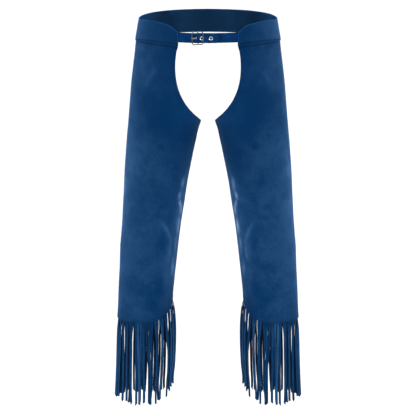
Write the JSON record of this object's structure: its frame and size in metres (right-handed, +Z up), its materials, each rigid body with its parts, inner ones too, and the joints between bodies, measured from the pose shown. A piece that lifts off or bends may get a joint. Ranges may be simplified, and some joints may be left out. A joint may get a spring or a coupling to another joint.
{
  "type": "fringed leather chaps",
  "caption": "Full-length leather chaps worn over trousers: open seat and crotch, shaped yokes and back waistband, front strap with a buckle, and long cut fringe round both hems.",
  "frame": {"origin": "middle of the waist, at the height of the front strap, where the wearer holds the chaps up", "axes": "+Z up, the front faces -Y, +X points to the wearer's left"},
  "size_m": [0.4986, 0.2716, 1.0444],
  "materials": {
    "leg_R": "matte nubuck with a soft nap",
    "leg_L": "matte nubuck with a soft nap",
    "yoke_R": "matte nubuck with a soft nap",
    "yoke_L": "matte nubuck with a soft nap",
    "back_band": "matte flesh side, darker than the face",
    "strap_tip": "smooth matte leather",
    "strap_buckle": "smooth matte leather",
    "buckle_frame": "polished nickel-plated wire",
    "buckle_prong": "polished nickel-plated wire",
    "eyelet_1": "polished nickel-plated sheet",
    "eyelet_2": "polished nickel-plated sheet",
    "fringe_R": "matte nubuck, cut edges darker",
    "fringe_L": "matte nubuck, cut edges darker"
  },
  "bodies": {
    "root": {"leg_R": "leg_R", "leg_L": "leg_L", "yoke_R": "yoke_R", "yoke_L": "yoke_L", "back_band": "back_band", "strap_tip": "strap_tip", "strap_buckle": "strap_buckle", "buckle_frame": "buckle_frame", "buckle_prong": "buckle_prong", "eyelet_1": "eyelet_1", "eyelet_2": "eyelet_2", "fringe_R": "fringe_R", "fringe_L": "fringe_L"}
  },
  "joints": []
}
